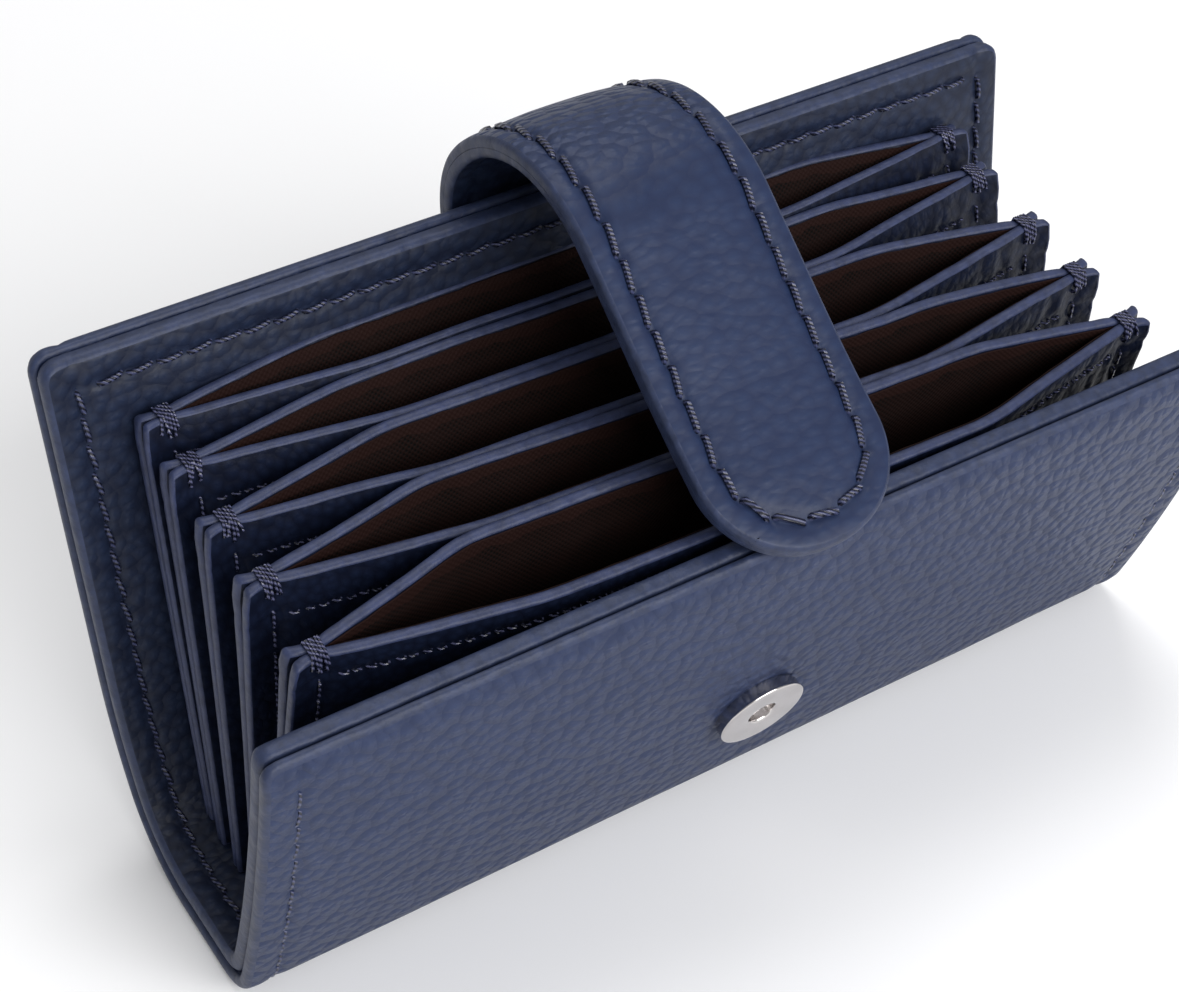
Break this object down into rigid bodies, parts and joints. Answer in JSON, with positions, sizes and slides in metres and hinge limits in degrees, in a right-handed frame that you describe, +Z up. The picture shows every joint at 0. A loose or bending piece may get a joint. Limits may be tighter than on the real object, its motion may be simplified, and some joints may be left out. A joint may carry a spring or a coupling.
{
  "type": "card holder",
  "caption": "Folding leather card holder with a concertina of card sleeves, a wrap-over strap and a round magnetic snap, standing open on its fold.",
  "frame": {"origin": "middle of the flat strip under the fold, which the holder stands on", "axes": "+X along the fold, -Y towards the front panel with the snap, +Z up"},
  "size_m": [0.112, 0.0555, 0.071],
  "materials": {
    "cover_leather": "navy pebbled leather, semi-matt",
    "lining_leather": "navy pebbled leather, a little darker and smoother",
    "sleeve_leather": "thin dark navy leather with painted edges",
    "pocket_cloth": "dark brown woven lining cloth",
    "thread": "navy sewing thread",
    "board": "grey stiffening board, hidden",
    "nickel": "polished nickel plate",
    "steel": "plain steel, mostly hidden"
  },
  "bodies": {
    "back_panel": {"back_cover": "cover_leather", "back_lining": "lining_leather", "back_board": "board", "back_stitching": "thread", "strap_anchor": "cover_leather"},
    "front_panel": {"front_cover": "cover_leather", "front_lining": "lining_leather", "front_board": "board", "front_stitching": "thread", "socket_rim": "nickel", "socket_magnet": "steel", "socket_rivet": "steel"},
    "sleeve_1": {"sleeve_1_back_wall": "sleeve_leather", "sleeve_1_front_wall": "sleeve_leather", "sleeve_1_lining": "pocket_cloth", "sleeve_1_bar_tacks": "thread"},
    "sleeve_2": {"sleeve_2_back_wall": "sleeve_leather", "sleeve_2_front_wall": "sleeve_leather", "sleeve_2_lining": "pocket_cloth", "sleeve_2_bar_tacks": "thread"},
    "sleeve_3": {"sleeve_3_back_wall": "sleeve_leather", "sleeve_3_front_wall": "sleeve_leather", "sleeve_3_lining": "pocket_cloth", "sleeve_3_bar_tacks": "thread"},
    "sleeve_4": {"sleeve_4_back_wall": "sleeve_leather", "sleeve_4_front_wall": "sleeve_leather", "sleeve_4_lining": "pocket_cloth", "sleeve_4_bar_tacks": "thread"},
    "sleeve_5": {"sleeve_5_back_wall": "sleeve_leather", "sleeve_5_front_wall": "sleeve_leather", "sleeve_5_lining": "pocket_cloth", "sleeve_5_bar_tacks": "thread"},
    "strap": {"strap_top_leather": "cover_leather", "strap_lining_leather": "lining_leather", "strap_stitching": "thread", "stud_plate": "nickel", "stud_post": "nickel", "stud_washer": "steel"}
  },
  "joints": [
    {"name": "cover_fold", "type": "hinge", "parent": "back_panel", "child": "front_panel", "pos_m": [0, -0.00682, 0.00557], "axis": [-1, 0, 0], "range_deg": [0, 24], "deforming": ["sleeve_1_back_wall", "sleeve_1_front_wall", "sleeve_1_lining", "sleeve_2_back_wall", "sleeve_2_front_wall", "sleeve_2_lining", "sleeve_3_back_wall", "sleeve_3_front_wall", "sleeve_3_lining", "sleeve_4_back_wall", "sleeve_4_front_wall", "sleeve_4_lining", "sleeve_5_back_wall", "sleeve_5_front_wall", "sleeve_5_lining"]},
    {"name": "sleeve_1_lean", "type": "hinge", "parent": "back_panel", "child": "sleeve_1", "pos_m": [0, 0.0093, 0.00628], "axis": [-1, 0, 0], "range_deg": [0, 1.73]},
    {"name": "sleeve_2_lean", "type": "hinge", "parent": "back_panel", "child": "sleeve_2", "pos_m": [0, 0.0069, 0.00483], "axis": [-1, 0, 0], "range_deg": [0, 5.57]},
    {"name": "sleeve_3_lean", "type": "hinge", "parent": "back_panel", "child": "sleeve_3", "pos_m": [0, 0.0033, 0.00423], "axis": [-1, 0, 0], "range_deg": [0, 9.65]},
    {"name": "sleeve_4_lean", "type": "hinge", "parent": "back_panel", "child": "sleeve_4", "pos_m": [0, -0.0009, 0.00429], "axis": [-1, 0, 0], "range_deg": [0, 13.85]},
    {"name": "sleeve_5_lean", "type": "hinge", "parent": "back_panel", "child": "sleeve_5", "pos_m": [0, -0.0049, 0.00466], "axis": [-1, 0, 0], "range_deg": [0, 18.77]},
    {"name": "strap_swing", "type": "hinge", "parent": "back_panel", "child": "strap", "pos_m": [0, 0.02576, 0.0447], "axis": [-1, 0, 0], "range_deg": [0, 110], "stiffness_Nm_per_rad": 0.004}
  ],
  "couplings": [
    {"joint": "sleeve_1_lean", "follows": "cover_fold", "ratio": 0.07},
    {"joint": "sleeve_2_lean", "follows": "cover_fold", "ratio": 0.23},
    {"joint": "sleeve_3_lean", "follows": "cover_fold", "ratio": 0.4},
    {"joint": "sleeve_4_lean", "follows": "cover_fold", "ratio": 0.575},
    {"joint": "sleeve_5_lean", "follows": "cover_fold", "ratio": 0.78}
  ]
}
